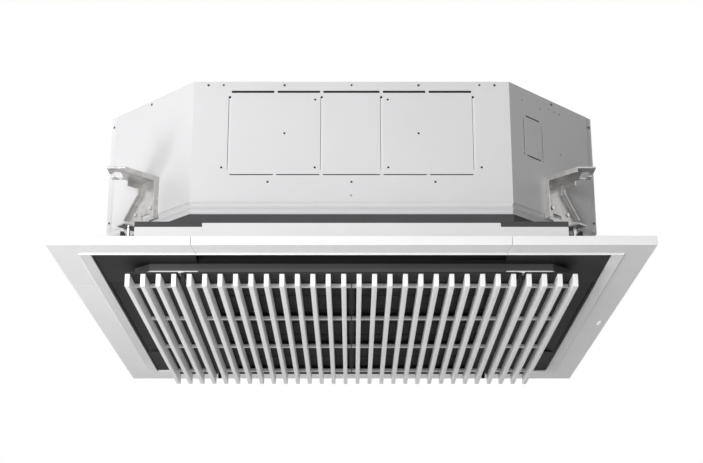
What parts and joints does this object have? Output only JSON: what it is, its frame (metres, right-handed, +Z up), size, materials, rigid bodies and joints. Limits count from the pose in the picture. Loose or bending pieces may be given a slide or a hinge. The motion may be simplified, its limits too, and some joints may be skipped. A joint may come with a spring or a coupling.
{
  "type": "ceiling cassette air conditioner",
  "caption": "Ceiling cassette indoor unit: chamfered sheet metal body with slotted hangers on a square white panel with a hinged slatted intake grille, swinging outlet vanes and a fan.",
  "frame": {"origin": "middle of the square ceiling cut-out, at the underside of the ceiling, which is the back face of the trim panel", "axes": "+Z up into the ceiling void, +X right and -Y towards the viewer of the picture"},
  "size_m": [0.95, 0.95, 0.3396],
  "materials": {
    "trim_white": "smooth moulded white",
    "slat_white": "smooth moulded white",
    "ring_white": "moulded off-white",
    "lens": "clear milky lens",
    "tray_dark": "moulded near black",
    "drum_dark": "moulded black",
    "vane_dark": "moulded black",
    "motor_plastic": "moulded light grey",
    "filter_dark": "moulded net",
    "latch_black": "moulded black",
    "foam_white": "moulded bead foam",
    "foam_dark": "closed-cell foam",
    "sheet": "satin coated sheet",
    "galvanised": "galvanised sheet",
    "zinc": "zinc plated",
    "fin": "finned sheet",
    "copper": "drawn copper",
    "fan_grey": "moulded dark grey",
    "bell_white": "moulded grey",
    "motor_case": "moulded black",
    "rubber": "moulded",
    "drain_plastic": "moulded light grey",
    "float_white": "foamed float"
  },
  "bodies": {
    "housing": {"bell_mouth": "bell_white", "body_gasket": "foam_dark", "body_screws": "zinc", "casing_front": "sheet", "casing_left": "sheet", "casing_lid": "sheet", "casing_liner": "foam_dark", "casing_rear": "sheet", "casing_right": "sheet", "coil_fins": "fin", "coil_tubes": "copper", "control_box": "galvanised", "control_lid": "galvanised", "corner_cover_front_left": "trim_white", "corner_cover_front_right": "trim_white", "corner_cover_rear_left": "trim_white", "corner_cover_rear_right": "trim_white", "drain_outlet": "drain_plastic", "drain_pan": "foam_white", "drain_pump": "drain_plastic", "duct_block": "foam_white", "fan_motor": "motor_case", "gas_pipe": "copper", "hanger_front_left": "galvanised", "hanger_front_right": "galvanised", "hanger_rear_left": "galvanised", "hanger_rear_right": "galvanised", "hinge_blocks": "latch_black", "indicator_lens": "lens", "intake_drum": "drum_dark", "intake_ring": "ring_white", "liquid_pipe": "copper", "motor_bushes": "rubber", "motor_mount": "galvanised", "panel_bolts": "zinc", "panel_seal": "foam_dark", "panel_tray": "tray_dark", "terminal_block": "drain_plastic", "trim_front": "trim_white", "trim_left": "trim_white", "trim_rear": "trim_white", "trim_right": "trim_white", "vane_motors": "motor_plastic", "wing_plate_left": "tray_dark", "wing_plate_right": "tray_dark", "wing_slats_left": "slat_white", "wing_slats_right": "slat_white"},
    "vane_front_body": {"vane_front": "vane_dark"},
    "vane_right_body": {"vane_right": "vane_dark"},
    "vane_rear_body": {"vane_rear": "vane_dark"},
    "vane_left_body": {"vane_left": "vane_dark"},
    "fan_rotor": {"fan": "fan_grey", "fan_shaft": "zinc"},
    "intake_grille": {"grille_frame": "tray_dark", "grille_slats_left": "slat_white", "grille_slats_right": "slat_white", "air_filter": "filter_dark"},
    "latch_left_body": {"latch_left": "latch_black"},
    "latch_right_body": {"latch_right": "latch_black"},
    "float": {"drain_float": "float_white"}
  },
  "joints": [
    {"name": "fan_spin", "type": "hinge", "parent": "housing", "child": "fan_rotor", "pos_m": [0, 0, 0.2], "axis": [0, 0, 1], "continuous": true},
    {"name": "vane_front_swing", "type": "hinge", "parent": "housing", "child": "vane_front_body", "pos_m": [0, -0.366, -0.0035], "axis": [1, 0, 0], "range_deg": [0, 75]},
    {"name": "vane_right_swing", "type": "hinge", "parent": "housing", "child": "vane_right_body", "pos_m": [0.366, 0, -0.0035], "axis": [0, -1, 0], "range_deg": [0, 75]},
    {"name": "vane_rear_swing", "type": "hinge", "parent": "housing", "child": "vane_rear_body", "pos_m": [0, 0.366, -0.0035], "axis": [1, 0, 0], "range_deg": [0, 75]},
    {"name": "vane_left_swing", "type": "hinge", "parent": "housing", "child": "vane_left_body", "pos_m": [-0.366, 0, -0.0035], "axis": [0, 1, 0], "range_deg": [0, 75]},
    {"name": "grille_swing", "type": "hinge", "parent": "housing", "child": "intake_grille", "pos_m": [0, 0.366, -0.0278], "axis": [1, 0, 0], "range_deg": [0, 85]},
    {"name": "latch_left_slide", "type": "slide", "parent": "intake_grille", "child": "latch_left_body", "axis": [0, 1, 0], "range_m": [0, 0.005], "stiffness_N_per_m": 300, "springref_m": -0.001},
    {"name": "latch_right_slide", "type": "slide", "parent": "intake_grille", "child": "latch_right_body", "axis": [0, 1, 0], "range_m": [0, 0.005], "stiffness_N_per_m": 300, "springref_m": -0.001},
    {"name": "float_rise", "type": "slide", "parent": "housing", "child": "float", "axis": [0, 0, 1], "range_m": [0, 0.01]}
  ]
}
